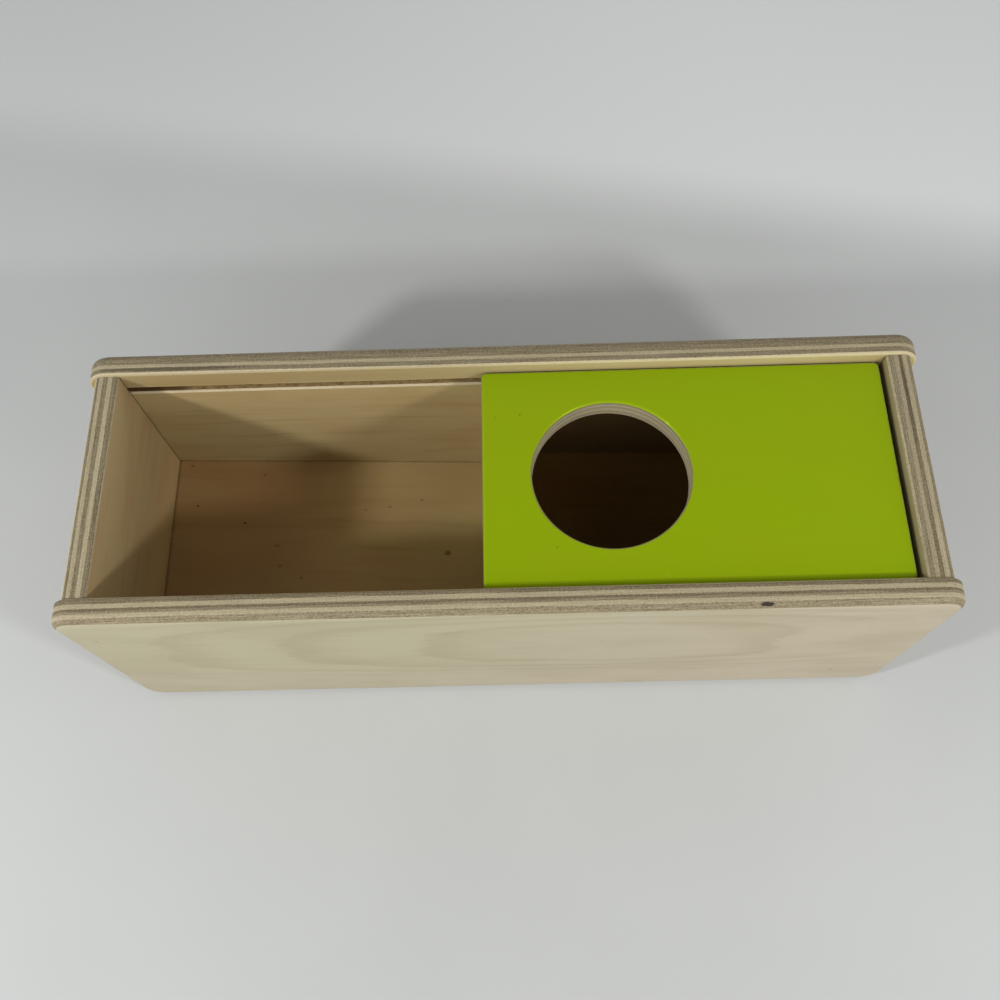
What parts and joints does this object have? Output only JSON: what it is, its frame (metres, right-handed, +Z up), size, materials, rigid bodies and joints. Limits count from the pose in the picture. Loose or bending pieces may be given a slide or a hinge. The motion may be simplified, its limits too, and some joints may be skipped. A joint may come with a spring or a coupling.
{
  "type": "object permanence box",
  "caption": "Plywood toy box with rounded panels, two bays with sloping floors, and a green lid that slides in side grooves and has a round hole to drop a ball through.",
  "frame": {"origin": "middle of the footprint, on the surface that the box stands on", "axes": "+X along the box towards the end that the lid covers at rest, +Y towards the back panel, +Z up"},
  "size_m": [0.29, 0.098, 0.1],
  "materials": {
    "panel_plywood": "pale birch plywood, clear matt varnish",
    "end_plywood": "pale birch plywood, clear matt varnish",
    "floor_plywood": "birch plywood, clear matt varnish",
    "lid_paint": "lime green satin paint on plywood",
    "dowel_wood": "plain beech"
  },
  "bodies": {
    "box": {"front_panel": "panel_plywood", "back_panel": "panel_plywood", "left_end_panel": "end_plywood", "right_end_panel": "end_plywood", "divider": "end_plywood", "left_ramp": "floor_plywood", "right_ramp": "floor_plywood", "dowel_front_left_lower": "dowel_wood", "dowel_front_left_upper": "dowel_wood", "dowel_front_right_lower": "dowel_wood", "dowel_front_right_upper": "dowel_wood", "dowel_back_left_lower": "dowel_wood", "dowel_back_left_upper": "dowel_wood", "dowel_back_right_lower": "dowel_wood", "dowel_back_right_upper": "dowel_wood"},
    "lid": {"sliding_lid": "lid_paint"}
  },
  "joints": [
    {"name": "lid_slide", "type": "slide", "parent": "box", "child": "lid", "axis": [1, 0, 0], "range_m": [-0.1258, 0]}
  ]
}
